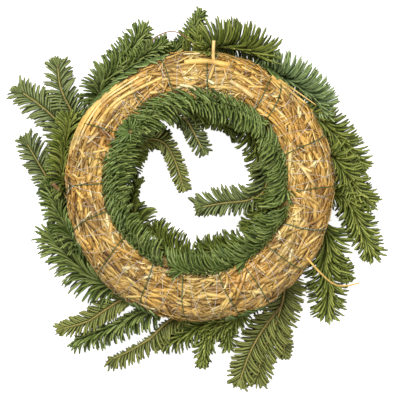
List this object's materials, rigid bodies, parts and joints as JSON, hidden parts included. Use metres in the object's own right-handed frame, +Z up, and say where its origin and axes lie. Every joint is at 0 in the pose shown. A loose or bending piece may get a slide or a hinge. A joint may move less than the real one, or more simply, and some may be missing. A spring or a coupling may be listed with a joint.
{
  "type": "advent wreath",
  "caption": "Advent wreath of noble fir sprays wired round a straw ring, without candles, lying face down so that its straw back and winding wire are up.",
  "frame": {"origin": "middle of the wreath's outline, on the surface that it lies on", "axes": "+Z up out of the straw back, which is the side the picture shows; +X to the right and +Y to the top of the picture"},
  "size_m": [0.3555, 0.3647, 0.0903],
  "materials": {
    "straw": "dry bundled straw",
    "green_wire": "green lacquer",
    "fir_dark": "fresh needles",
    "fir_mid": "fresh needles",
    "fir_pale": "fresh needles"
  },
  "bodies": {
    "root": {"straw_ring": "straw", "winding_wire": "green_wire", "outer_spray_01": "fir_pale", "outer_spray_02": "fir_pale", "outer_spray_03": "fir_mid", "outer_spray_04": "fir_mid", "outer_spray_05": "fir_mid", "outer_spray_06": "fir_pale", "outer_spray_07": "fir_mid", "outer_spray_08": "fir_mid", "outer_spray_09": "fir_mid", "outer_spray_10": "fir_mid", "outer_spray_11": "fir_pale", "outer_spray_12": "fir_mid", "outer_spray_13": "fir_mid", "outer_spray_14": "fir_mid", "outer_spray_15": "fir_mid", "outer_spray_16": "fir_mid", "outer_spray_17": "fir_mid", "outer_spray_18": "fir_dark", "outer_spray_19": "fir_mid", "inner_sprig_1": "fir_pale", "inner_sprig_2": "fir_pale", "inner_sprig_3": "fir_dark", "inner_upper_spray_1": "fir_mid", "inner_upper_spray_2": "fir_mid", "inner_upper_spray_3": "fir_mid", "inner_upper_spray_4": "fir_mid", "inner_upper_spray_5": "fir_mid", "inner_upper_spray_6": "fir_mid", "inner_upper_spray_7": "fir_mid", "inner_lower_spray_1": "fir_dark", "inner_lower_spray_2": "fir_dark", "inner_lower_spray_3": "fir_dark", "inner_lower_spray_4": "fir_dark", "inner_lower_spray_5": "fir_dark", "inner_lower_spray_6": "fir_dark", "inner_lower_spray_7": "fir_dark", "face_spray_1": "fir_dark", "face_spray_2": "fir_dark", "face_spray_3": "fir_dark", "face_spray_4": "fir_dark", "face_spray_5": "fir_dark", "face_spray_6": "fir_dark", "face_spray_7": "fir_dark", "face_spray_8": "fir_dark", "face_spray_9": "fir_dark"}
  },
  "joints": []
}
